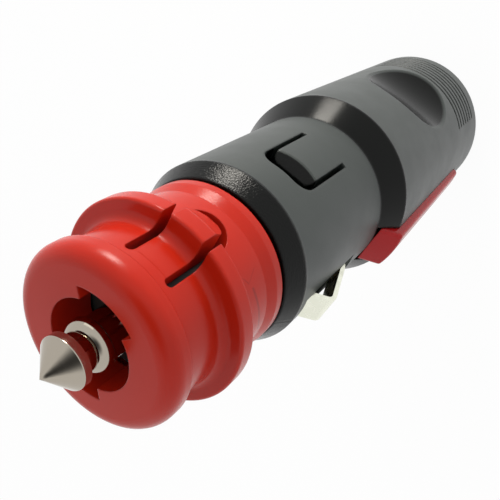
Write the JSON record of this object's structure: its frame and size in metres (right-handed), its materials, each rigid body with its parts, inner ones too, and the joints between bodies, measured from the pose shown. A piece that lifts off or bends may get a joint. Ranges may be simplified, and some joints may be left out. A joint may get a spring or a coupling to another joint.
{
  "type": "cigarette lighter plug",
  "caption": "Universal vehicle power plug for large and small lighter sockets, with a twist-off red adapter, sprung centre contact, side spring, fuse and rocker switch.",
  "frame": {"origin": "centre of the flat rear face of the housing, where the cable inlet opens", "axes": "+Z along the plug's axis to the tip of the centre contact, -X to the rocker switch, -Y to the half shell seen from the front"},
  "size_m": [0.0254, 0.0244, 0.0846],
  "materials": {
    "black_shell": "satin moulded plastic",
    "red_adapter": "glossy moulded plastic",
    "red_switch": "glossy moulded plastic",
    "nickel": "bright nickel plate",
    "spring_steel": "bare spring steel",
    "brass": "bare brass",
    "screw_steel": "zinc plated",
    "fuse_glass": "clear glass tube"
  },
  "bodies": {
    "housing": {"housing_front": "black_shell", "housing_back": "black_shell", "housing_screws": "screw_steel", "ground_bridge": "brass", "nose_contact_left": "nickel", "nose_contact_right": "nickel", "fuse_contact": "brass", "switch_contact": "brass", "tip_spring": "spring_steel", "rocker_pin": "screw_steel", "plus_clamp": "brass", "minus_clamp": "brass", "clamp_screws": "screw_steel"},
    "tip": {"tip_pin": "nickel", "fuse_cap_front": "nickel", "fuse_glass": "fuse_glass", "fuse_cap_rear": "nickel", "fuse_wire": "nickel"},
    "adapter": {"adapter": "red_adapter"},
    "side_spring": {"ground_spring": "nickel"},
    "rocker": {"rocker": "red_switch", "plunger": "brass", "plunger_spring": "spring_steel"},
    "blade": {"switch_blade": "brass"}
  },
  "joints": [
    {"name": "tip_press", "type": "slide", "parent": "housing", "child": "tip", "axis": [0, 0, -1], "range_m": [0, 0.003], "stiffness_N_per_m": 1200, "springref_m": -0.003, "deforming": ["tip_spring"]},
    {"name": "adapter_twist", "type": "hinge", "parent": "housing", "child": "adapter", "pos_m": [0, 0, 0.07], "axis": [0, 0, 1], "range_deg": [0, 30]},
    {"name": "side_spring_flex", "type": "hinge", "parent": "housing", "child": "side_spring", "pos_m": [-0.00805, 0, 0.0445], "axis": [0, 1, 0], "range_deg": [0, 8], "stiffness_Nm_per_rad": 0.6, "springref_deg": -1.72},
    {"name": "rocker_press", "type": "hinge", "parent": "housing", "child": "rocker", "pos_m": [-0.0099, 0, 0.026], "axis": [0, 1, 0], "range_deg": [0, 5]},
    {"name": "blade_tilt", "type": "hinge", "parent": "housing", "child": "blade", "pos_m": [-0.0041, 0, 0.02575], "axis": [0, 1, 0], "range_deg": [-8, 0]}
  ],
  "couplings": [
    {"joint": "blade_tilt", "follows": "rocker_press", "ratio": -1.6}
  ]
}
